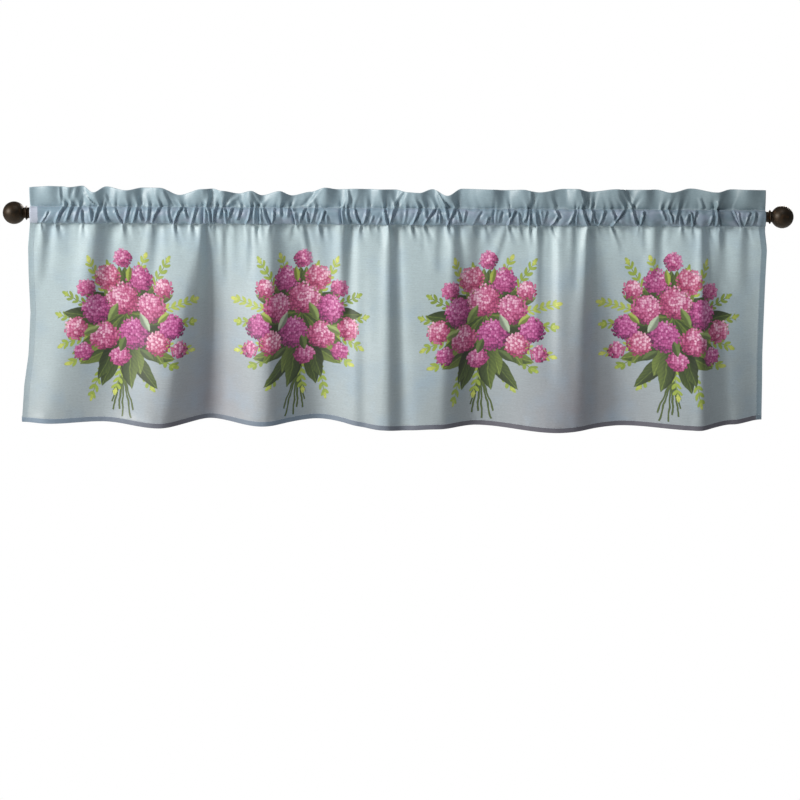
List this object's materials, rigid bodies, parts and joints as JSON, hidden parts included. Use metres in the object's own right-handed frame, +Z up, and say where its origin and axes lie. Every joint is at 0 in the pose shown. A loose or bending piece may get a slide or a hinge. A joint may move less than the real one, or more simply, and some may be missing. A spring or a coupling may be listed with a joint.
{
  "type": "window valance on curtain rod",
  "caption": "Rod-pocket window valance with a ruffled header, a gathered pocket and a softly folded skirt, hung on a round tubular curtain rod with ball finials.",
  "frame": {"origin": "on the rod's axis, half way along the rod", "axes": "+X along the rod to the viewer's right, -Y out of the front of the valance towards the room, +Z up"},
  "size_m": [1.4866, 0.0628, 0.4642],
  "materials": {
    "cloth": "soft plain-woven polyester with a faint satin sheen",
    "bronze": "satin oil-rubbed bronze paint"
  },
  "bodies": {
    "root": {"valance_cloth": "cloth", "rod": "bronze", "finial_left": "bronze", "finial_right": "bronze"}
  },
  "joints": []
}
